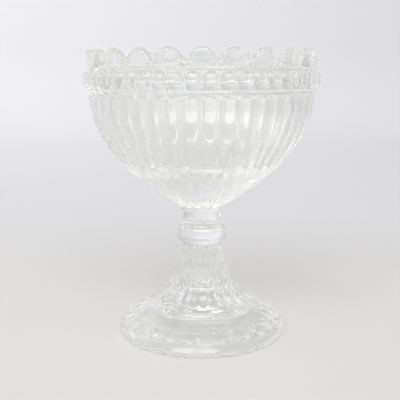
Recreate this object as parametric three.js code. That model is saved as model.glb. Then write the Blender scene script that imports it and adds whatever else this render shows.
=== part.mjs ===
// Pressed-glass dessert bowl on a foot, clear soda glass, in millimetres with +Z up.
// The origin is the centre of the flat ring that the foot rests on.
// It is made of three pieces of glass that were welded hot, face to face:
//   bowl  pressed, with a scalloped rim, a beaded band and convex reeds
//   knop  the wafer of glass between the two pressings, a waisted neck over a ring
//   foot  pressed, a ribbed stem on a stepped dome and a foot of convex petals
import * as THREE from "three";

// Repeats round the axis
const scallopCount = 24;
const reedCount = 48; // the beads stand over the reeds, one to one
const petalCount = 24;
const ribCount = 28;

// Foot, from the ground up
const footRadius = 37.8;
const footWidestHeight = 0.9; // height at which the rounded edge is widest
const footEdgeHeight = 4.5; // where the petals start over the rounded edge
const borderWidth = 2.6; // from the edge in to the petals
const restRingWidth = 3.4; // flat ring that stands on the table
const restRingInset = 1.2; // from the edge of the foot to the flat ring
const footTurn = THREE.MathUtils.degToRad(2.5); // how far the foot was welded off the bowl's pattern
const petalInnerRadius = 29.3;
const petalFieldRise = 3.7; // from the border to the petals' inner ends
const petalHeight = 1.3;
const petalWidth = 0.9; // share of the pitch
const petalArch = 3.4; // length of the rounded inner end
const ledgeHeight = 8.8; // the smooth ledge between the petals and the dome
const coveReach = 3.2; // how far the cove at the dome's foot runs out on the ledge
const domeRadius = 19.35;
const domeFoot = 12.6; // height of the top of that cove
const domeTop = 21.4;
const stemBaseRadius = 14.4;
const stemTopRadius = 8.7;
const stemHeight = 18.6;
const stemWaist = 6.5; // length over which the stem's top runs nearly straight
const ribHeight = 0.35;

// The hollow that the plunger leaves under the foot
const footWall = 3.6; // glass between the ledge and the hollow
const hollowHeight = 13.6;
const hollowShoulderRadius = 10.5; // of the rounded top inside the dome
const hollowShoulderDrop = 2.2; // from the top down to that shoulder

// Knop
const knopRingHeight = 8.6;
const knopRingRadius = 11.25;
const knopShoulderRadius = 10.65;
const neckHeight = 6.6;
const neckWaistRadius = 8.7;
const neckTopRadius = 9.9;
const seamGroove = 0.45; // how far a weld lies inside the surfaces beside it

// Bowl
const stubHeight = 1.6; // plain stub that the knop is welded to
const reedBaseRadius = 11.0;
const reedBaseRise = 3.0; // from the weld to where the reeds start
const reedTopRadius = 48.8;
const reededHeight = 49.0;
const reedDepth = 1.05; // at the top; the reeds keep their roundness as they narrow downwards
const reedWidth = 0.93; // share of the pitch; the rest is the groove
const reedArchHeight = 2.2; // the rounded upper end of each reed
const upperPull = 21.4; // Bezier handle at the top of the reeded wall, straight down
const lowerPull = 23.5; // Bezier handle at its foot
const lowerSlope = THREE.MathUtils.degToRad(29.3); // direction of that handle
const shoulderHeight = 0.5; // from the tops of the reeds to the ridge
const shoulderStep = 0.2; // how far the ridge starts inside the reeds' crests
const beltRidge = 0.55; // fine ridge above and below the beads
const beltRidgeHeight = 1.2;
const beadBandHeight = 7.5;
const beadBandBulge = 0.5; // swell of the band under the beads
const beadHeight = 1.75;
const beadWidth = 0.84; // share of the pitch
const beadLength = 0.92; // share of the band
const rimRadius = 49.15;
const rimWallHeight = 8.6; // from the beads to the tops of the scallops
const rimWall = 3.4;
const scallopDepth = 4.7;
const scallopWidth = 0.84; // share of the pitch that the arch takes; the rest is the notch
const scallopRound = 0.6; // 0.5 is half an ellipse, 1 a parabola
const lipRound = 1.15;
const wallAtBand = 3.9; // bowl wall, crest of a reed to the inside
const wallAtFloor = 4.3;
const floorRadius = 24.0;
const floorRound = 3.0; // least width of the bend from the wall to the floor
const floorFall = 0.35; // slope of that bend

// Facets round the axis, so that every repeat starts on a facet's edge
const bowlFacets = reedCount * 4;
const lowReedFacets = reedCount * 2; // under a radius where four to a reed would be too fine
const lowReedRadius = 31;
const beltFacets = reedCount * 2;
const insideFacets = reedCount * 2;
const footFacets = petalCount * 4;
const stemFacets = ribCount * 3;
const plainFacets = 48;

// Heights that follow from the sizes above
const footTop = domeTop + stemHeight;
const knopTop = footTop + knopRingHeight + neckHeight;
const reedFoot = knopTop + reedBaseRise;
const reedTop = reedFoot + reededHeight;
const bandBottom = reedTop + shoulderHeight + beltRidgeHeight;
const bandTop = bandBottom + beadBandHeight;
const rimBase = bandTop + beltRidgeHeight;
const rimTop = bandTop + rimWallHeight;

// Where an angle falls across one repeat: -1 and 1 at its edges, 0 in its middle.
// shift is how far round, in repeats, the first edge lies.
function across(angle, count, shift = 0) {
  const turn = (angle / (2 * Math.PI)) * count + shift;
  return 2 * (turn - Math.floor(turn)) - 1;
}

// A cushion over -1..1 in two directions, with steep sides.
const pillow = (u, v) => Math.max(0, 1 - Math.abs(u) ** 3 - Math.abs(v) ** 3) ** 0.6;

// One ring of points round the axis. radius and height are numbers or functions of the angle.
function ring(facets, radius, height) {
  const at = (value, angle) => (typeof value === "function" ? value(angle) : value);
  return Array.from({ length: facets }, (_, i) => {
    const angle = (2 * Math.PI * i) / facets;
    const r = at(radius, angle);
    return new THREE.Vector3(r * Math.cos(angle), r * Math.sin(angle), at(height, angle));
  });
}

const pole = (height) => [new THREE.Vector3(0, 0, height)];

// A closed skin through rings that run from one pole to the other, up the outside and down the inside.
// Two rings may have different numbers of points, as long as both start at angle 0.
function skin(rings) {
  const points = rings.flat();
  const faces = [];
  let start = 0;
  for (let k = 0; k + 1 < rings.length; k++) {
    const low = rings[k].length;
    const high = rings[k + 1].length;
    const next = start + low;
    let i = 0;
    let j = 0;
    while (i < (low > 1 ? low : 0) || j < (high > 1 ? high : 0)) {
      const lowEnd = low > 1 ? (i + 1) / low : Infinity;
      const highEnd = high > 1 ? (j + 1) / high : Infinity;
      const a = start + (i % low);
      const b = next + (j % high);
      const afterA = start + ((i + 1) % low);
      const afterB = next + ((j + 1) % high);
      let lowFirst = lowEnd < highEnd;
      if (low === high && i === j) {
        // Of a four-sided patch's two diagonals the shorter is drawn, and a tie goes by turns.
        const lean = points[afterA].distanceTo(points[b]) - points[a].distanceTo(points[afterB]);
        lowFirst = Math.abs(lean) < 1e-6 ? i % 2 === 0 : lean < 0;
      } else if (lowEnd === highEnd) {
        lowFirst = true;
      }
      if (lowFirst) {
        faces.push(a, afterA, b);
        i++;
      } else {
        faces.push(a, afterB, b);
        j++;
      }
    }
    start = next;
  }
  const geometry = new THREE.BufferGeometry().setFromPoints(points);
  geometry.setIndex(faces);
  geometry.computeVertexNormals();
  return geometry;
}

// Points of a cubic Bezier in the radius and height plane, both ends left in.
function bezier(from, pullFrom, pullTo, to, steps) {
  const curve = new THREE.CubicBezierCurve(
    new THREE.Vector2(...from),
    new THREE.Vector2(...pullFrom),
    new THREE.Vector2(...pullTo),
    new THREE.Vector2(...to),
  );
  return { curve, points: curve.getPoints(steps) };
}

const clearGlass = () =>
  new THREE.MeshStandardMaterial({
    color: 0xf2f5f4,
    roughness: 0.04,
    metalness: 0,
    transparent: true,
    opacity: 0.35,
  });

function piece(name, geometry) {
  const mesh = new THREE.Mesh(geometry, clearGlass());
  mesh.name = name;
  return mesh;
}

// Foot

// The petals stand on the slope between the rounded edge and the ledge, and end in an arch there.
function petalRings() {
  const outer = footRadius - borderWidth;
  const length = outer - petalInnerRadius;
  const radii = [
    outer,
    outer - petalHeight / 2,
    petalInnerRadius + petalArch,
    petalInnerRadius + petalArch * 0.4,
    petalInnerRadius,
  ];
  return radii.map((radius, row) => {
    const rise = (petalFieldRise * (outer - radius)) / length;
    const end = Math.max(0, 1 - (radius - petalInnerRadius) / petalArch);
    const swell = (angle) => {
      const u = across(angle, petalCount, 0.5) / petalWidth;
      return row === 0 ? 0 : petalHeight * Math.max(0, 1 - u * u - end * end);
    };
    return ring(footFacets, radius, (angle) => footEdgeHeight + rise + swell(angle));
  });
}

function ribbed(radius, share) {
  return (angle) => {
    const u = across(angle, ribCount, 0.5);
    return radius - ribHeight * share * u * u;
  };
}

function stemRings() {
  const { points } = bezier(
    [stemBaseRadius, domeTop],
    [stemBaseRadius - 2.2, domeTop + 4.6],
    [stemTopRadius + 0.55, footTop - stemWaist],
    [stemTopRadius, footTop - seamGroove],
    5,
  );
  return points.map((p, i) => ring(stemFacets, ribbed(p.x, i < points.length - 1 ? 1 : 0), p.y));
}

// The underside, from the inner edge of the flat ring to the top of the hollow.
function hollowRings() {
  const mouth = footRadius - restRingInset - restRingWidth;
  const ceiling = ledgeHeight - footWall;
  return [
    [mouth, 0],
    [mouth - 1.1, 1.9],
    [petalInnerRadius - 0.4, ceiling - 1.4],
    [petalInnerRadius - 3.7, ceiling - 0.2],
    [petalInnerRadius - 7.3, ceiling + 0.7],
    [hollowShoulderRadius + 5.1, ceiling + 2.9],
    [hollowShoulderRadius + 2.7, ceiling + 4.5],
    [hollowShoulderRadius, hollowHeight - hollowShoulderDrop],
    [hollowShoulderRadius * 0.7, hollowHeight - hollowShoulderDrop * 0.45],
    [hollowShoulderRadius * 0.4, hollowHeight - hollowShoulderDrop * 0.12],
  ].map(([r, z]) => ring(plainFacets, r, z));
}

function footGeometry() {
  const edge = [
    [footRadius - restRingInset, 0],
    [footRadius - 0.3, 0.25],
    [footRadius, footWidestHeight],
    [footRadius - 0.15, footWidestHeight + 1.2],
    [footRadius - 0.8, footEdgeHeight - 1.1],
  ];
  const dome = [
    [petalInnerRadius - 1.9, ledgeHeight - 0.3],
    [domeRadius + coveReach, ledgeHeight - 0.1],
    [domeRadius + coveReach * 0.55, ledgeHeight + 0.3],
    [domeRadius + coveReach * 0.17, domeFoot - 1.8],
    [domeRadius, domeFoot],
    [domeRadius - 0.35, domeFoot + 2.6],
    [domeRadius - 1.6, domeFoot + 5.9],
    [stemBaseRadius + 0.7, domeTop - 0.5],
  ];
  return skin([
    pole(hollowHeight),
    ...hollowRings().reverse(),
    ...edge.map(([r, z]) => ring(plainFacets, r, z)),
    ...petalRings(),
    ...dome.map(([r, z]) => ring(plainFacets, r, z)),
    ...stemRings(),
    ring(plainFacets, stemTopRadius - seamGroove, footTop),
    pole(footTop),
  ]);
}

// Knop

function knopGeometry() {
  const ringTop = footTop + knopRingHeight;
  const profile = [
    [stemTopRadius - seamGroove, footTop],
    [(stemTopRadius + knopRingRadius) / 2 - 0.1, footTop + 1.1],
    [knopRingRadius - 0.2, footTop + 3.2],
    [knopRingRadius, footTop + 5],
    [knopRingRadius - 0.15, footTop + 6.8],
    [knopShoulderRadius, ringTop - 0.7],
    [knopShoulderRadius - 0.65, ringTop - 0.1],
    [neckWaistRadius, ringTop + 0.7],
    [neckWaistRadius + 0.1, ringTop + neckHeight * 0.4],
    [neckWaistRadius + 0.6, ringTop + neckHeight * 0.7],
    [neckTopRadius, knopTop - seamGroove],
    [neckTopRadius - seamGroove, knopTop],
  ];
  return skin([pole(footTop), ...profile.map(([r, z]) => ring(plainFacets, r, z)), pole(knopTop)]);
}

// Bowl

const reedCurve = bezier(
  [reedBaseRadius, reedFoot],
  [
    reedBaseRadius + lowerPull * Math.cos(lowerSlope),
    reedFoot + lowerPull * Math.sin(lowerSlope),
  ],
  [reedTopRadius, reedTop - upperPull],
  [reedTopRadius, reedTop],
  1,
).curve;

// Radius of the reeded wall round the axis: the curve is the reeds' crests.
function reeded(radius, height) {
  const depth = reedDepth * (radius / reedTopRadius) ** 2;
  const end = Math.max(0, (height - (reedTop - reedArchHeight)) / reedArchHeight);
  return (angle) => {
    const u = across(angle, reedCount) / reedWidth;
    return radius - depth + depth * Math.max(0, 1 - u * u - end * end);
  };
}

function reedRings() {
  const steps = 8;
  const archStart = reedTop - reedArchHeight;
  const wall = reedCurve.getPoints(steps).filter((p) => p.y < archStart - 0.5);
  const arch = [0, 0.6, 1].map((v) => new THREE.Vector2(reedTopRadius, archStart + reedArchHeight * v));
  const facets = (radius) => (radius < lowReedRadius ? lowReedFacets : bowlFacets);
  return [...wall, ...arch].map((p) => ring(facets(p.x), reeded(p.x, p.y), p.y));
}

function bandRings() {
  const middle = (bandBottom + bandTop) / 2;
  const base = rimRadius - 0.2;
  return [-1, -0.6, 0, 0.6, 1].map((v) => {
    const swell = beadBandBulge * (1 - v * v);
    const bead = (angle) => pillow(across(angle, reedCount) / beadWidth, v / beadLength);
    const radius = (angle) => base + swell + beadHeight * bead(angle);
    return ring(bowlFacets, radius, middle + (v * beadBandHeight) / 2);
  });
}

// How far the rim lies under the scallops' tops.
function scallopDrop(angle) {
  const u = across(angle, scallopCount, 0.5) / scallopWidth;
  return scallopDepth * (1 - Math.max(0, 1 - u * u) ** scallopRound);
}

function rimRings() {
  const edge = (angle) => rimTop - scallopDrop(angle);
  const inner = rimRadius - rimWall;
  return [
    ring(beltFacets, rimRadius, rimBase),
    ring(bowlFacets, rimRadius - 0.1, (angle) => edge(angle) - lipRound),
    ring(bowlFacets, rimRadius - lipRound, edge),
    ring(bowlFacets, inner + lipRound, edge),
    ring(bowlFacets, inner, (angle) => edge(angle) - lipRound),
  ];
}

// The inside follows the reeds' crests at the wall's thickness, down to the flat floor.
function insideRings() {
  const rings = [];
  const steps = 7;
  for (let k = steps; k >= 0; k--) {
    const t = k / steps;
    const at = reedCurve.getPoint(t);
    const along = reedCurve.getTangent(t);
    const wall = THREE.MathUtils.lerp(wallAtFloor, wallAtBand, t);
    const point = new THREE.Vector2(at.x - along.y * wall, at.y + along.x * wall);
    if (point.x < floorRadius + floorRound) break;
    rings.push(point);
  }
  const last = rings[rings.length - 1];
  const floor = last.y - (last.x - floorRadius) * floorFall;
  rings.push(new THREE.Vector2(floorRadius, floor));
  return [...rings.map((p) => ring(insideFacets, p.x, p.y)), pole(floor)];
}

function bowlGeometry() {
  const shoulderRadius = reedTopRadius - shoulderStep;
  return skin([
    pole(knopTop),
    ring(plainFacets, neckTopRadius - seamGroove, knopTop),
    ring(plainFacets, neckTopRadius, knopTop + seamGroove),
    ring(plainFacets, neckTopRadius, knopTop + stubHeight),
    ...reedRings(),
    ring(beltFacets, shoulderRadius, reedTop + shoulderHeight),
    ring(beltFacets, shoulderRadius + beltRidge, bandBottom - beltRidgeHeight / 2),
    ...bandRings(),
    ring(beltFacets, rimRadius + beltRidge, bandTop + beltRidgeHeight / 2),
    ...rimRings(),
    ...insideRings(),
  ]);
}

const dessertBowl = new THREE.Group();
dessertBowl.add(
  piece("bowl", bowlGeometry()),
  piece("knop", knopGeometry()),
  piece("foot", footGeometry().rotateZ(footTurn)),
);

export default dessertBowl;
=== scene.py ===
# Clear pressed-glass dessert bowl on a foot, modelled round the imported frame.
# Each piece of glass is a profile that a Geometry Nodes tree spins round and presses its pattern into.
import math

import bpy
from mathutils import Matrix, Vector
from mathutils.geometry import interpolate_bezier


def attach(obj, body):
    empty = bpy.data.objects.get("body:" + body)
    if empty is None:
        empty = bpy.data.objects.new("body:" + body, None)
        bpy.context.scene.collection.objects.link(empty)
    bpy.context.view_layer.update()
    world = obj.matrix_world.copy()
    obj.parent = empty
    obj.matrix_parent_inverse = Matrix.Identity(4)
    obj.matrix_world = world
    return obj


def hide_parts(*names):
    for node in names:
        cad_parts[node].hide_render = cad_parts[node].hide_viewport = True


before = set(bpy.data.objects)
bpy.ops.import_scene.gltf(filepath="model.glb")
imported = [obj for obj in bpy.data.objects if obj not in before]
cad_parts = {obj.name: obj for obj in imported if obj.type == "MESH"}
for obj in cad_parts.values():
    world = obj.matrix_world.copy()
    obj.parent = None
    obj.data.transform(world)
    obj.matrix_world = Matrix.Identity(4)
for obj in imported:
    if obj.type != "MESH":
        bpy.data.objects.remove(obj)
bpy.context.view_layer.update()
print("frame loaded:", ", ".join(sorted(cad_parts)))

mm = 0.001  # profiles and patterns are in millimetres


# A socket of a node tree that can be added, multiplied and compared like a number.
# With no socket it is only a pen for the tree's first nodes.
class Wire:
    def __init__(self, tree, socket=None):
        self.tree = tree
        self.socket = socket

    # Any node: its type, its settings, which are set first, and the values or wires of its sockets.
    def add(self, kind, settings=None, sockets=None, output=0):
        node = self.tree.nodes.new(kind)
        for name, value in (settings or {}).items():
            setattr(node, name, value)
        for name, value in (sockets or {}).items():
            if isinstance(value, Wire):
                self.tree.links.new(value.socket, node.inputs[name])
            else:
                node.inputs[name].default_value = value
        return Wire(self.tree, node.outputs[output] if len(node.outputs) else None)

    def math(self, operation, *values):
        return self.add("ShaderNodeMath", {"operation": operation}, dict(enumerate(values)))

    def out(self, name):
        return Wire(self.tree, self.socket.node.outputs[name])

    # From one colour to another, which are tuples or wires, by a share of 0 to 1.
    # Sockets 6 and 7 of the node take the colours, and its output 2 gives the mix.
    def mixed(self, share, low, high):
        ends = {i: c if isinstance(c, Wire) else (*c, 1) for i, c in ((6, low), (7, high))}
        return self.add("ShaderNodeMix", {"data_type": "RGBA"}, {"Factor": share, **ends}, output=2)

    def __add__(self, other):
        return self.math("ADD", self, other)

    __radd__ = __add__

    def __sub__(self, other):
        return self.math("SUBTRACT", self, other)

    def __rsub__(self, other):
        return self.math("SUBTRACT", other, self)

    def __mul__(self, other):
        return self.math("MULTIPLY", self, other)

    __rmul__ = __mul__

    def __truediv__(self, other):
        return self.math("DIVIDE", self, other)

    def __rtruediv__(self, other):
        return self.math("DIVIDE", other, self)

    def __pow__(self, other):
        return self.math("POWER", self, other)

    def __abs__(self):
        return self.math("ABSOLUTE", self)

    def __gt__(self, other):
        return self.math("GREATER_THAN", self, other)

    def __lt__(self, other):
        return self.math("LESS_THAN", self, other)


def atLeast(wire, low):
    return wire.math("MAXIMUM", wire, low)


def atMost(wire, high):
    return wire.math("MINIMUM", wire, high)


# Cut to a share of 0 to 1.
def asShare(wire):
    return atMost(atLeast(wire, 0.0), 1.0)


# Where an angle, in turns, falls across one repeat of a pattern: -1 and 1 at its edges and 0 in its middle.
def across(turns, count, shift=0.0):
    phase = turns * count + shift
    return phase.math("FRACT", phase) * 2 - 1


# A crown that is 1 in the middle of a motif and falls to 0 one unit away from it.
def crown(u, v):
    return atLeast(1 - u * u - v * v, 0.0)


# A new object in the scene, of a mesh, a lamp or a camera.
def linked(name, data):
    piece = bpy.data.objects.new(name, data)
    bpy.context.scene.collection.objects.link(piece)
    return piece


def emptyMaterial(name):
    material = bpy.data.materials.new(name)
    material.use_nodes = True
    material.node_tree.nodes.clear()
    return material


# Glass

glass = {
    "index": 1.52,
    "tint": (0.985, 0.992, 0.977),
    "streakTint": (0.968, 0.975, 0.958),
    "streakScale": 42.0,  # of the noise, per metre, as are the two scales below
    "roughnessLow": 0.0,
    "roughnessHigh": 0.03,
    "rippleScale": 110.0,
    "rippleHeight": 0.02,  # in millimetres
    "grainScale": 900.0,
    "grainHeight": 0.001,  # in millimetres
}


# shift moves the streaks and ripples, so that no two pieces have the same.
def glassFinish(name, shift):
    material = emptyMaterial(name)
    pen = Wire(material.node_tree)
    place = pen.add("ShaderNodeTexCoord").out("Object")
    offset = (shift, 2 * shift, 3 * shift)
    place = pen.add("ShaderNodeVectorMath", {"operation": "ADD"}, {0: place, 1: offset})

    def cloud(scale, detail):
        return pen.add(
            "ShaderNodeTexNoise", None,
            {"Vector": place, "Scale": scale, "Detail": detail, "Roughness": 0.5},
        )

    ripple = cloud(glass["rippleScale"], 2.0)
    grain = cloud(glass["grainScale"], 1.0)
    streak = cloud(glass["streakScale"], 3.0)
    colour = pen.mixed(streak, glass["tint"], glass["streakTint"])
    rough = glass["roughnessLow"] + (glass["roughnessHigh"] - glass["roughnessLow"]) * streak
    relief = ripple * glass["rippleHeight"] + grain * glass["grainHeight"]
    bump = pen.add("ShaderNodeBump", None, {"Strength": 1.0, "Distance": mm, "Height": relief})
    surface = pen.add(
        "ShaderNodeBsdfPrincipled", None,
        {
            "Base Color": colour, "Roughness": rough, "IOR": glass["index"],
            "Transmission Weight": 1.0, "Normal": bump,
        },
    )
    pen.add("ShaderNodeOutputMaterial", None, {"Surface": surface})
    return material


# Where two pieces are welded there is no surface between them, so light goes straight through.
def weldFinish():
    material = emptyMaterial("weldedGlass")
    pen = Wire(material.node_tree)
    clear = pen.add("ShaderNodeBsdfTransparent", None, {"Color": (1, 1, 1, 1)})
    pen.add("ShaderNodeOutputMaterial", None, {"Surface": clear})
    return material


weldedGlass = weldFinish()
print("glass mixed")


# Profiles: rows of radius and height, from the axis at the bottom round to the axis again

def line(start, end, rows):
    steps = [(i + 1) / rows for i in range(rows)]
    return [tuple(a + (b - a) * t for a, b in zip(start, end)) for t in steps]


def bend(start, pullStart, pullEnd, end, rows):
    points = interpolate_bezier(
        Vector((*start, 0)), Vector((*pullStart, 0)), Vector((*pullEnd, 0)), Vector((*end, 0)), rows + 1
    )
    return [(p.x, p.y) for p in points[1:]]


# A smooth curve through stations, with the same number of rows between each two.
def through(stations, rows):
    points = []
    last = len(stations) - 1
    for i in range(last):
        before = stations[max(i - 1, 0)]
        a, b = stations[i], stations[i + 1]
        after = stations[min(i + 2, last)]
        for k in range(rows):
            t = (k + 1) / rows
            points.append(tuple(
                0.5 * (2 * q + (r - p) * t + (2 * p - 5 * q + 4 * r - s) * t * t
                       + (3 * q - p - 3 * r + s) * t ** 3)
                for p, q, r, s in zip(before, a, b, after)
            ))
    return points


def widestRow(rows):
    return max(range(len(rows)), key=lambda i: rows[i][0])


# The profile as a chain of edges in the XZ plane. Each share, which is how much of a pattern
# is pressed into a row, becomes an attribute of its points.
def profileObject(name, rows, shares):
    mesh = bpy.data.meshes.new(name)
    points = [(r * mm, 0, z * mm) for r, z in rows]
    mesh.from_pydata(points, [(i, i + 1) for i in range(len(points) - 1)], [])
    for share, rule in shares.items():
        values = mesh.attributes.new(share, "FLOAT", "POINT")
        values.data.foreach_set("value", [float(rule(r, z, i)) for i, (r, z) in enumerate(rows)])
    return linked(name, mesh)


mergeDistance = 0.001 * mm  # points nearer than this become one
weldReach = 0.01 * mm  # how near a face lies to the height of its weld


# A tree that spins a profile round the Z axis. press takes the wires of one point and returns
# its pressed radius and height, and welds are the heights of the flat faces joined to a neighbour.
def pressTree(name, sizes, shares, press, welds):
    tree = bpy.data.node_groups.new(name, "GeometryNodeTree")
    sockets = tree.interface
    sockets.new_socket("Profile", in_out="INPUT", socket_type="NodeSocketGeometry")
    for label, value in sizes.items():
        kind = "NodeSocketInt" if isinstance(value, int) else "NodeSocketFloat"
        sockets.new_socket(label, in_out="INPUT", socket_type=kind)
    for label in ("Glass", "Weld"):
        sockets.new_socket(label, in_out="INPUT", socket_type="NodeSocketMaterial")
    sockets.new_socket("Piece", in_out="OUTPUT", socket_type="NodeSocketGeometry")

    # A grid with a column for each step round the axis and a row for each row of the profile.
    pen = Wire(tree)
    profile = pen.add("NodeGroupInput")
    size = {label: profile.out(label) for label in sizes}
    rowCount = pen.add("GeometryNodeAttributeDomainSize", {"component": "MESH"}, {"Geometry": profile})
    grid = pen.add(
        "GeometryNodeMeshGrid", None,
        {"Size X": 1.0, "Size Y": 1.0, "Vertices X": size["Columns"] + 1, "Vertices Y": rowCount},
    )
    index = pen.add("GeometryNodeInputIndex")
    column = index.math("FLOOR", (index + 0.5) / rowCount)
    row = index - column * rowCount

    def sampled(field, kind):
        return pen.add(
            "GeometryNodeSampleIndex", {"data_type": kind, "domain": "POINT"},
            {"Geometry": profile, "Value": field, "Index": row},
        )

    station = sampled(pen.add("GeometryNodeInputPosition"), "FLOAT_VECTOR")
    station = pen.add("ShaderNodeSeparateXYZ", None, {0: station})
    share = {}
    for label in shares:
        field = pen.add("GeometryNodeInputNamedAttribute", {"data_type": "FLOAT"}, {"Name": label})
        share[label] = sampled(field, "FLOAT")

    # Crowding draws the columns together at the edges of each repeat.
    phase = column / size["Columns"] * size["Repeats"]
    sweep = phase * (2 * math.pi)
    turns = (phase - size["Crowding"] * sweep.math("SINE", sweep) / (2 * math.pi)) / size["Repeats"]
    radius, height = press(turns, station.out("X") / mm, station.out("Z") / mm, share, size)
    angle = turns * (2 * math.pi)
    point = pen.add(
        "ShaderNodeCombineXYZ", None,
        {
            "X": radius * angle.math("COSINE", angle) * mm,
            "Y": radius * angle.math("SINE", angle) * mm,
            "Z": height * mm,
        },
    )
    skin = pen.add("GeometryNodeSetPosition", None, {"Geometry": grid, "Position": point})
    skin = pen.add("GeometryNodeMergeByDistance", None, {"Geometry": skin, "Distance": mergeDistance})

    # The faces of a weld are flat and lie at its height.
    level = pen.add("ShaderNodeSeparateXYZ", None, {0: pen.add("GeometryNodeInputPosition")}).out("Z")
    inWeld = sum(abs(level - weld * mm) < weldReach for weld in welds)
    skin = pen.add("GeometryNodeSetShadeSmooth", None, {"Geometry": skin, "Shade Smooth": inWeld < 0.5})
    skin = pen.add("GeometryNodeRealizeInstances", None, {"Geometry": skin})
    skin = pen.add("GeometryNodeSetMaterial", None, {"Geometry": skin, "Material": profile.out("Glass")})
    skin = pen.add(
        "GeometryNodeSetMaterial", None,
        {"Geometry": skin, "Selection": inWeld > 0.5, "Material": profile.out("Weld")},
    )
    pen.add("NodeGroupOutput", None, {"Piece": skin})
    return tree


# Spins and presses a profile, and leaves a plain mesh that stands for its CAD node.
def pressedPiece(name, node, rows, shares, sizes, press, welds, finish):
    source = profileObject(name + "Profile", rows, shares)
    tree = pressTree(name, sizes, shares, press, welds)
    pressed = source.modifiers.new("pressed", "NODES")
    pressed.node_group = tree
    values = {**sizes, "Glass": finish, "Weld": weldedGlass}
    for item in tree.interface.items_tree:
        if item.in_out == "INPUT" and item.name in values:
            pressed[item.identifier] = values[item.name]
    bpy.context.view_layer.update()
    evaluated = source.evaluated_get(bpy.context.evaluated_depsgraph_get())
    piece = linked(name, bpy.data.meshes.new_from_object(evaluated))
    bpy.data.objects.remove(source)
    piece.data.materials.pop(index=0)  # the grid's own empty slot
    for spare in [a.name for a in piece.data.attributes if a.name in shares]:
        piece.data.attributes.remove(piece.data.attributes[spare])
    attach(piece, "root")
    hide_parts(node)
    print(f"{name}: {len(piece.data.polygons)} faces, {[m.name for m in piece.data.materials]}")


# Foot: ribbed stem on a dome and petals

foot = {
    "radius": 37.8,
    "edgeHeight": 4.5,  # where the petals start over the rounded edge
    "border": 2.6,  # from the edge in to the petals
    "ringOuter": 36.6,
    "ringInner": 33.2,
    "hollowTop": 13.6,
    "petals": 24,
    "petalInner": 29.3,
    "petalRise": 3.7,  # of the slope that the petals stand on
    "petalHeight": 1.3,
    "petalWidth": 0.9,  # share of the pitch
    "petalArch": 3.4,  # length of the rounded inner end
    "domeTop": 21.4,
    "stemBase": 14.4,
    "stemTop": 8.7,
    "stemWaist": 6.5,  # from the weld down to the Bezier handle at the stem's top
    "ribs": 28,
    "ribHeight": 0.55,
    "ribRound": 0.7,  # 0.5 is half an ellipse, 1 a parabola
    "ribStart": 17.0,
    "ribArch": 2.2,  # the ribs' round lower ends reach this far under their start
    "ribFoot": 9.0,  # from here up the wall is drawn in, for the ribs to stand on
    "ribFootFade": 3.5,  # height over which it comes to be drawn in
    "ribTopFade": 2.5,  # and to be full again under the weld
    "weld": 40.0,
    "groove": 0.45,
    "turn": 2.5,  # degrees off the bowl's pattern
    "columns": 480,
    "streakShift": 3.1,
}


def footProfile():
    weld, groove, stemTop = foot["weld"], foot["groove"], foot["stemTop"]
    outer = foot["radius"] - foot["border"]
    ledge = (foot["petalInner"], foot["edgeHeight"] + foot["petalRise"])
    flatStart, flatEnd = foot["ringInner"] + 0.6, foot["ringOuter"] - 0.5  # inside its rounded edges
    brink = (32.1, 1.9)  # where the hollow turns down to the ring
    hollow = through(
        [(0, foot["hollowTop"]), (2.0, 13.55), (4.5, 13.3), (7.5, 12.6), (10.5, 11.4), (13.2, 9.7),
         (15.6, 8.1), (18.6, 6.8), (22.0, 5.9), (25.6, 5.0), (28.9, 3.8), brink], 4
    )
    ring = bend(brink, (32.9, 1.4), (33.0, 0.2), (flatStart, 0.0), 5)
    ring += line((flatStart, 0.0), (flatEnd, 0.0), 2)
    edge = through(
        [(flatEnd, 0.0), (37.1, 0.1), (37.6, 0.4), (foot["radius"], 0.9), (37.65, 2.1), (37.0, 3.4),
         (36.1, 4.2), (outer, foot["edgeHeight"])], 3
    )
    petals = line((outer, foot["edgeHeight"]), ledge, 30)
    dome = through(
        [ledge, (27.4, 8.5), (24.9, 8.7), (23.1, 9.0), (21.7, 9.5), (20.7, 10.2), (20.0, 11.1), (19.6, 12.0),
         (19.4, 12.9), (19.25, 14.0), (19.0, 15.2), (18.5, 16.9), (17.75, 18.5), (16.4, 19.9), (15.1, 20.9),
         (foot["stemBase"], foot["domeTop"])], 4
    )
    stem = bend(
        (foot["stemBase"], foot["domeTop"]), (foot["stemBase"] - 2.2, foot["domeTop"] + 4.6),
        (stemTop + 0.55, weld - foot["stemWaist"]), (stemTop, weld - groove), 36
    )
    disc = line((stemTop, weld - groove), (stemTop - groove, weld), 3)
    disc += line((stemTop - groove, weld), (0, weld), 3)
    return [(0, foot["hollowTop"])] + hollow + ring + edge + petals + dome + stem + disc


def pressFoot(turns, radius, height, share, size):
    turned = turns - size["Turn"] / 360
    u = across(turned, size["Petals"], 0.5) / size["Petal Width"]
    end = atLeast(1 - (radius - size["Petal Inner"]) / size["Petal Arch"], 0.0)
    stop = atLeast((size["Rib Start"] - height) / size["Rib Arch"], 0.0)
    rib = crown(across(turned, size["Ribs"], 0.5), stop) ** size["Rib Round"]
    return (
        radius - share["rib"] * size["Rib Height"] * (1 - rib),
        height + share["petal"] * size["Petal Height"] * crown(u, end),
    )


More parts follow.
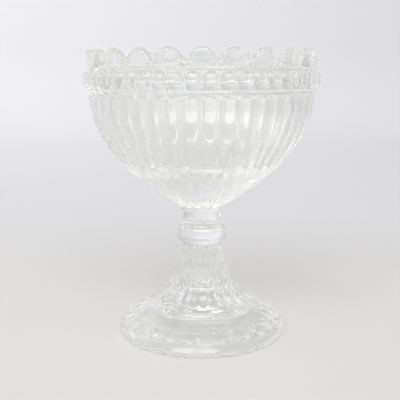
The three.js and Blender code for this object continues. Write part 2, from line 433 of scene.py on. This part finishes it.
def buildFoot():
    rows = footProfile()
    widest = widestRow(rows)
    outer = foot["radius"] - foot["border"]
    slopeTop = foot["edgeHeight"] + foot["petalRise"]
    ribTop = foot["weld"] - foot["groove"]

    def petalShare(r, z, i):
        onSlope = foot["petalInner"] <= r <= outer and foot["edgeHeight"] <= z <= slopeTop
        return max(0, min(1, (outer - r) / (foot["petalHeight"] / 2))) if onSlope else 0

    def ribShare(r, z, i):
        fade = min(1, (ribTop - z) / foot["ribTopFade"], (z - foot["ribFoot"]) / foot["ribFootFade"])
        return max(0, fade) if i > widest else 0

    pressedPiece(
        "footGlass", "foot", rows,
        {"petal": petalShare, "rib": ribShare},
        {
            "Columns": foot["columns"],
            "Repeats": foot["petals"],
            "Crowding": 0.0,
            "Turn": foot["turn"],
            "Petals": foot["petals"],
            "Petal Inner": foot["petalInner"],
            "Petal Width": foot["petalWidth"],
            "Petal Arch": foot["petalArch"],
            "Petal Height": foot["petalHeight"],
            "Ribs": foot["ribs"],
            "Rib Height": foot["ribHeight"],
            "Rib Round": foot["ribRound"],
            "Rib Start": foot["ribStart"],
            "Rib Arch": foot["ribArch"],
        },
        pressFoot, [foot["weld"]], glassFinish("footGlass", foot["streakShift"]),
    )


# Knop: a waisted neck over a ring

knop = {
    "lowWeld": 40.0,
    "lowWeldRadius": 8.25,
    "highWeld": 55.2,
    "ringRadius": 11.25,
    "ringTop": 48.6,
    "neckRadius": 8.7,
    "neckTop": 9.9,
    "columns": 192,
    "streakShift": 5.7,
}


def knopProfile():
    low, high, ringTop = knop["lowWeld"], knop["highWeld"], knop["ringTop"]
    lowEdge = (knop["lowWeldRadius"], low)
    crease = (10.0, ringTop - 0.1)  # between the ring and the neck
    ring = through(
        [lowEdge, (8.9, low + 0.25), (9.9, low + 1.1), (10.6, low + 2.0), (11.05, low + 3.2),
         (knop["ringRadius"], low + 5.0), (11.1, low + 6.8), (10.65, ringTop - 0.7), crease], 5
    )
    neck = through(
        [crease, (9.3, ringTop + 0.1), (knop["neckRadius"], ringTop + 0.7), (8.75, ringTop + 2.0),
         (8.95, ringTop + 3.6), (9.4, high - 1.4), (knop["neckTop"], high)], 5
    )
    disc = line((0, low), lowEdge, 3)
    return [(0, low)] + disc + ring + neck + line((knop["neckTop"], high), (0, high), 3)


def buildKnop():
    pressedPiece(
        "knopGlass", "knop", knopProfile(), {},
        {"Columns": knop["columns"], "Repeats": 1, "Crowding": 0.0},
        lambda turns, radius, height, share, size: (radius, height),
        [knop["lowWeld"], knop["highWeld"]], glassFinish("knopGlass", knop["streakShift"]),
    )


# Bowl: scallops, beads and reeds outside, smooth inside

bowl = {
    "weld": 55.2,
    "neckRadius": 9.9,
    "crease": (9.85, 57.3),  # between the stub and the bowl
    "reeds": 48,
    "reedFoot": (11.0, 58.2),
    "reedTop": (48.8, 107.2),
    "upperPull": 21.4,  # Bezier handle at the reeds' top, straight down
    "lowerPull": 23.5,  # and at their foot
    "lowerSlope": 29.3,  # degrees over the horizon
    "reedDepth": 1.05,
    "reedWidth": 0.93,  # share of the pitch
    "reedRound": 0.8,  # 0.5 is half an ellipse, 1 a parabola
    "lowReed": 0.5,  # the reeds' share of their depth near the stem
    "archHeight": 2.2,
    "ridge": 0.55,  # how far the fine ridges under and over the beads stand out
    "ridgeFoot": (48.6, 107.7),
    "beadBottom": 108.9,
    "beadTop": 116.4,
    "beadInset": 0.2,  # from the rim's wall in to the beads' ends
    "beadBulge": 0.5,  # swell of the band under the beads
    "beadHeight": 1.73,
    "beadWidth": 0.84,  # share of the pitch
    "beadLength": 0.92,  # share of the band
    "beadPower": 3.0,  # 2 is an ellipse in outline, and more is squarer
    "beadRound": 0.6,
    "rimRadius": 49.15,
    "rimFoot": 117.6,  # the wall of the scallops starts here
    "rimTop": 125.0,
    "rimWall": 3.4,
    "lip": 1.25,
    "scallops": 24,
    "scallopDepth": 4.7,
    "scallopWidth": 0.84,
    "scallopRound": 0.6,
    "scallopBulge": 0.45,  # swell of each scallop's outer face
    "bulgeFade": 1.5,  # height over which the swell starts
    "notchFoot": 110.0,  # the inner wall's rows sink into the notches from here up
    "wallAtBand": 3.9,
    "wallAtFloor": 4.3,
    "floorRadius": 24.0,
    "floorBend": 3.0,  # half the width of the bend from the wall to the floor
    "floorFall": 0.35,  # slope of that bend
    "columns": 480,
    "crowding": 0.6,  # how much closer the columns stand at the edges of reeds and beads
    "streakShift": 1.3,
}


def reedCurve(rows):
    slope = math.radians(bowl["lowerSlope"])
    r, z = bowl["reedFoot"]
    pull = bowl["lowerPull"]
    topR, topZ = bowl["reedTop"]
    return bend(
        (r, z), (r + pull * math.cos(slope), z + pull * math.sin(slope)), (topR, topZ - bowl["upperPull"]),
        (topR, topZ), rows
    )


def stubAndReeds():
    weld, neck, crease = bowl["weld"], bowl["neckRadius"], bowl["crease"]
    topR, topZ = bowl["reedTop"]
    archStart = topZ - bowl["archHeight"]
    stub = [(0, weld)] + line((0, weld), (neck, weld), 3) + line((neck, weld), crease, 4)
    stub += bend(crease, (10.1, 57.45), (10.7, 58.0), bowl["reedFoot"], 8)
    reeds = [p for p in reedCurve(52) if p[1] < archStart - 0.3]
    reeds += line((topR, archStart - 0.1), (topR, topZ), 10)  # closer rows for the arches
    return stub + reeds + line((topR, topZ), bowl["ridgeFoot"], 2)


def beadedBand():
    r, z = bowl["ridgeFoot"]
    rim, rimFoot, ridge = bowl["rimRadius"], bowl["rimFoot"], bowl["ridge"]
    low, high = bowl["beadBottom"], bowl["beadTop"]
    base = rim - bowl["beadInset"]
    lowRidge = bend((r, z), (r + ridge, z + 0.1), (base + ridge + 0.2, low - 0.4), (base, low), 5)
    band = []
    bandRows = 24
    for i in range(bandRows):
        v = -math.cos(math.pi * (i + 1) / bandRows)  # closer rows at the beads' ends
        band.append((base + bowl["beadBulge"] * (1 - v * v), low + (high - low) / 2 * (1 + v)))
    highRidge = bend(
        (base, high), (rim + ridge + 0.2, high + 0.3), (rim + ridge, rimFoot - 0.1), (rim, rimFoot), 5
    )
    return lowRidge + band + highRidge


def rimAndLip():
    rim, top, lip = bowl["rimRadius"], bowl["rimTop"], bowl["lip"]
    inner = rim - bowl["rimWall"]
    outer = rim - 0.1  # the wall leans in a little
    pull = 0.45 * lip  # from the corner in to the Bezier handles of a nearly round lip
    wall = line((rim, bowl["rimFoot"]), (outer, top - lip), 12)
    lipOut = bend((outer, top - lip), (outer, top - pull), (rim - lip + pull, top), (rim - lip, top), 5)
    lipTop = line((rim - lip, top), (inner + lip, top), 2)
    lipIn = bend((inner + lip, top), (inner + pull, top), (inner, top - pull), (inner, top - lip), 5)
    return wall + lipOut + lipTop + lipIn


# The inside runs along the reeds at the wall's thickness, and ends in a nearly flat floor.
def smoothInside():
    inner = bowl["rimRadius"] - bowl["rimWall"]
    floorRadius, floorBend = bowl["floorRadius"], bowl["floorBend"]
    last = 7  # of the stations along the reeds
    outside = [bowl["reedFoot"]] + reedCurve(last)
    inside = [(inner, bowl["rimTop"] - bowl["lip"]), (inner - 0.1, 118.0), (45.4, 112.0)]
    for i in range(last, 0, -1):
        (r0, z0), (r1, z1) = outside[i - 1], outside[min(i + 1, last)]
        length = math.hypot(r1 - r0, z1 - z0)
        wall = bowl["wallAtFloor"] + (bowl["wallAtBand"] - bowl["wallAtFloor"]) * i / last
        r, z = outside[i]
        r, z = r - (z1 - z0) / length * wall, z + (r1 - r0) / length * wall
        if r > floorRadius + floorBend:
            inside.append((r, z))
    bendR, bendZ = inside[-1]
    floorZ = bendZ - (bendR - floorRadius) * bowl["floorFall"]
    floorEdge = (floorRadius - floorBend, floorZ - 0.1)
    inside += [(floorRadius, floorZ), floorEdge]
    return through(inside, 5) + line(floorEdge, (0, floorZ - 0.1), 3)


def pressBowl(turns, radius, height, share, size):
    u = across(turns, size["Reeds"])
    arch = atLeast((height - size["Arch Start"]) / size["Arch Height"], 0.0)
    reed = crown(u / size["Reed Width"], arch) ** size["Reed Round"]
    wide = abs(u / size["Bead Width"]) ** size["Bead Power"]
    tall = abs((height - size["Bead Middle"]) / size["Bead Half"]) ** size["Bead Power"]
    bead = atLeast(1 - wide - tall, 0.0) ** size["Bead Round"]
    w = across(turns, size["Scallops"], 0.5) / size["Scallop Width"]
    scallop = atLeast(1 - w * w, 0.0)
    drop = size["Scallop Depth"] * (1 - scallop ** size["Scallop Round"])
    radius = radius - share["reed"] * size["Reed Depth"] * (1 - reed)
    radius = radius + share["bead"] * size["Bead Height"] * bead
    radius = radius + share["face"] * size["Scallop Bulge"] * scallop
    return radius, height - share["rim"] * drop


def buildBowl():
    rows = stubAndReeds() + beadedBand() + rimAndLip() + smoothInside()
    widest = widestRow(rows)
    topR, topZ = bowl["reedTop"]
    ridgeZ, rimFoot, notchFoot = bowl["ridgeFoot"][1], bowl["rimFoot"], bowl["notchFoot"]
    beadBottom, beadTop = bowl["beadBottom"], bowl["beadTop"]
    lipStart = bowl["rimTop"] - bowl["lip"]
    inner = bowl["rimRadius"] - bowl["rimWall"]

    def reedShare(r, z, i):
        if i > widest or not bowl["reedFoot"][1] <= z <= ridgeZ:
            return 0
        if z > topZ:
            return 1 - (z - topZ) / (ridgeZ - topZ)
        return max((r / topR) ** 2, bowl["lowReed"])

    def beadShare(r, z, i):
        return 1 if beadBottom <= z <= beadTop and r > inner + 1 else 0

    def rimShare(r, z, i):
        start = rimFoot if r > inner + 1 else notchFoot
        return min(1, max(0, (z - start) / (lipStart - start)))

    def faceShare(r, z, i):
        if z < rimFoot or r < inner + bowl["lip"]:
            return 0
        return min(1, (z - rimFoot) / bowl["bulgeFade"], (bowl["rimTop"] - z) / bowl["lip"])

    pressedPiece(
        "bowlGlass", "bowl", rows,
        {"reed": reedShare, "bead": beadShare, "rim": rimShare, "face": faceShare},
        {
            "Columns": bowl["columns"],
            "Repeats": bowl["reeds"],
            "Crowding": bowl["crowding"],
            "Reeds": bowl["reeds"],
            "Reed Depth": bowl["reedDepth"],
            "Reed Width": bowl["reedWidth"],
            "Reed Round": bowl["reedRound"],
            "Arch Start": topZ - bowl["archHeight"],
            "Arch Height": bowl["archHeight"],
            "Bead Middle": (beadBottom + beadTop) / 2,
            "Bead Half": (beadTop - beadBottom) / 2 * bowl["beadLength"],
            "Bead Width": bowl["beadWidth"],
            "Bead Height": bowl["beadHeight"],
            "Bead Power": bowl["beadPower"],
            "Bead Round": bowl["beadRound"],
            "Scallops": bowl["scallops"],
            "Scallop Depth": bowl["scallopDepth"],
            "Scallop Width": bowl["scallopWidth"],
            "Scallop Round": bowl["scallopRound"],
            "Scallop Bulge": bowl["scallopBulge"],
        },
        pressBowl, [bowl["weld"]], glassFinish("bowlGlass", bowl["streakShift"]),
    )


buildFoot()
buildKnop()
buildBowl()


# Stage: a pale table that turns up into a wall well behind the object, in metres

stage = {
    "front": -1.4,
    "gap": 0.0002,  # from the table up to the foot, so that glass and table aren't one surface
    "bendStart": 0.86,
    "bendRadius": 0.16,
    "bendSteps": 24,
    "height": 1.3,
    "halfWidth": 1.8,
    "table": (0.723, 0.713, 0.704),
    "farTable": (0.747, 0.738, 0.754),
    # The table turns cooler towards the back, its own tone, and is then painted much lighter before the
    # bend: painted light that hides the shade where it turns up into the wall.
    "backTablePaintedLight": (0.838, 0.829, 0.847),
    "farStart": 0.10,
    "farEnd": 0.26,
    "backEnd": 0.80,
    # Painted light and shade: the wall is painted lighter on the left and darker on the right, as if lit
    # from the left.
    "wallLitLeft": (0.818, 0.821, 0.842),
    "wallShadedRight": (0.77, 0.767, 0.789),
    "wallSpan": 0.9,  # metres over which the painted light on the wall fades to painted shade from left to right
    "dim": (0.82, 0.82, 0.82),  # the wall is darker above what the camera sees
    "dimStart": 0.25,
    "dimEnd": 0.40,
    "mottle": (0.6, 0.6, 0.6),
    "mottleShare": 0.06,
    "mottleScale": 6.0,
    "roughness": 0.9,
    "gloss": 0.1,
}


def sheetFinish():
    material = emptyMaterial("paleSheet")
    pen = Wire(material.node_tree)
    place = pen.add("ShaderNodeTexCoord").out("Object")
    axes = pen.add("ShaderNodeSeparateXYZ", None, {0: place})
    x, y, z = axes.out("X"), axes.out("Y"), axes.out("Z")
    cloud = pen.add(
        "ShaderNodeTexNoise", None,
        {"Vector": place, "Scale": stage["mottleScale"], "Detail": 2.0},
    )

    def between(axis, start, end):
        return asShare((axis - start) / (end - start))

    table = pen.mixed(between(y, stage["farStart"], stage["farEnd"]), stage["table"], stage["farTable"])
    # Painted light towards the bend, over the shade where the table turns up.
    table = pen.mixed(between(y, stage["farEnd"], stage["backEnd"]), table, stage["backTablePaintedLight"])
    # Painted light and shade across the wall, lighter on the left.
    wall = pen.mixed(asShare(x / stage["wallSpan"] + 0.5), stage["wallLitLeft"], stage["wallShadedRight"])
    dim = pen.mixed(between(z, stage["dimStart"], stage["dimEnd"]), (1, 1, 1), stage["dim"])
    wall = pen.add("ShaderNodeVectorMath", {"operation": "MULTIPLY"}, {0: wall, 1: dim})
    rise = asShare((y - stage["bendStart"]) / stage["bendRadius"])
    colour = pen.mixed(cloud * stage["mottleShare"], pen.mixed(rise, table, wall), stage["mottle"])
    surface = pen.add(
        "ShaderNodeBsdfPrincipled", None,
        {"Base Color": colour, "Roughness": stage["roughness"], "Specular IOR Level": stage["gloss"]},
    )
    pen.add("ShaderNodeOutputMaterial", None, {"Surface": surface})
    return material


def buildSheet():
    start, radius, steps = stage["bendStart"], stage["bendRadius"], stage["bendSteps"]
    level, width = -stage["gap"], stage["halfWidth"]
    turn = [math.pi / 2 * i / steps for i in range(steps + 1)]
    profile = [(stage["front"], level)]
    profile += [(start + radius * math.sin(a), level + radius * (1 - math.cos(a))) for a in turn]
    profile += [(start + radius, stage["height"])]
    points = [(x, y, z) for y, z in profile for x in (-width, width)]
    faces = [(2 * i, 2 * i + 1, 2 * i + 3, 2 * i + 2) for i in range(len(profile) - 1)]
    mesh = bpy.data.meshes.new("paleSheet")
    mesh.from_pydata(points, [], faces)
    mesh.polygons.foreach_set("use_smooth", [True] * len(mesh.polygons))
    mesh.materials.append(sheetFinish())
    sheet = linked("paleSheet", mesh)


# Light: a pale room and four soft boxes

room = {
    "above": (0.54, 0.54, 0.537),
    "around": (0.635, 0.635, 0.635),
    "climb": 1.3,  # how soon the tone above is reached: 1 is straight up
    "patch": (0.2, 0.2, 0.2),  # a darker patch towards -Y
    "patchStart": 0.97375,  # cosines of the angles from -Y at which it starts and is full
    "patchFull": 0.98625,
}

softBoxes = {
    "keySoftBox": {"from": (-0.25, -1.42, 1.5), "aim": (0, 0, 0.09), "size": (2.4, 0.75), "power": 20.5},
    "lowSoftBox": {"from": (-0.25, -1.766, 1.04), "aim": (0, 0, 0.09), "size": (2.4, 0.42), "power": 3.6},
    "overheadSoftBox": {"from": (-0.1, -0.42, 1.6), "aim": (0, 0, 0.11), "size": (1.6, 0.12), "power": 3.3},
    "wallSoftBox": {"from": (-0.75, 0.38, 0.80), "aim": (0.25, 1.02, 1.0), "size": (0.5, 1.0), "power": 2.4},
}


def buildRoom():
    world = bpy.data.worlds.new("paleRoom")
    bpy.context.scene.world = world
    world.use_nodes = True
    world.node_tree.nodes.clear()
    pen = Wire(world.node_tree)
    direction = pen.add("ShaderNodeSeparateXYZ", None, {0: pen.add("ShaderNodeTexCoord").out("Generated")})
    up = asShare(direction.out("Z") * room["climb"])
    front = direction.out("Y") * -1 - room["patchStart"]
    front = asShare(front / (room["patchFull"] - room["patchStart"]))
    colour = pen.mixed(front, pen.mixed(up, room["around"], room["above"]), room["patch"])
    light = pen.add("ShaderNodeBackground", None, {"Color": colour, "Strength": 1.0})
    pen.add("ShaderNodeOutputWorld", None, {"Surface": light})


def buildSoftBox(name, box):
    lamp = bpy.data.lights.new(name, "AREA")
    lamp.shape = "RECTANGLE"
    lamp.size, lamp.size_y = box["size"]
    lamp.energy = box["power"]
    holder = linked(name, lamp)
    holder.location = box["from"]
    direction = Vector(box["aim"]) - Vector(box["from"])
    holder.rotation_euler = direction.to_track_quat("-Z", "Y").to_euler()


# Camera: where the photo was taken from

camera = {
    "distance": 0.3069,
    "side": -0.0007,
    "height": 0.1157,
    "tilt": 10.42,  # degrees below the horizon
    "lens": 62.57,
    "sensor": 36,
    "clip": (0.01, 20),
}


def buildCamera():
    lens = bpy.data.cameras.new("photoCamera")
    lens.lens = camera["lens"]
    lens.sensor_width = camera["sensor"]
    lens.clip_start, lens.clip_end = camera["clip"]
    holder = linked("photoCamera", lens)
    holder.location = (camera["side"], -camera["distance"], camera["height"])
    holder.rotation_euler = (math.radians(90 - camera["tilt"]), 0, 0)
    bpy.context.scene.camera = holder


buildSheet()
buildRoom()
for name, box in softBoxes.items():
    buildSoftBox(name, box)
buildCamera()
print("stage, room, soft boxes and camera set")


# Light bounces many times between the reeds, and glass where it stops too soon turns black.
glassBounces = 128

scene = bpy.context.scene
scene.view_settings.view_transform = "Standard"
scene.cycles.max_bounces = glassBounces
scene.cycles.transmission_bounces = glassBounces
scene.cycles.glossy_bounces = glassBounces
scene.cycles.transparent_max_bounces = glassBounces // 2
scene.cycles.caustics_reflective = True
scene.cycles.caustics_refractive = True
scene.cycles.blur_glossy = 0.0
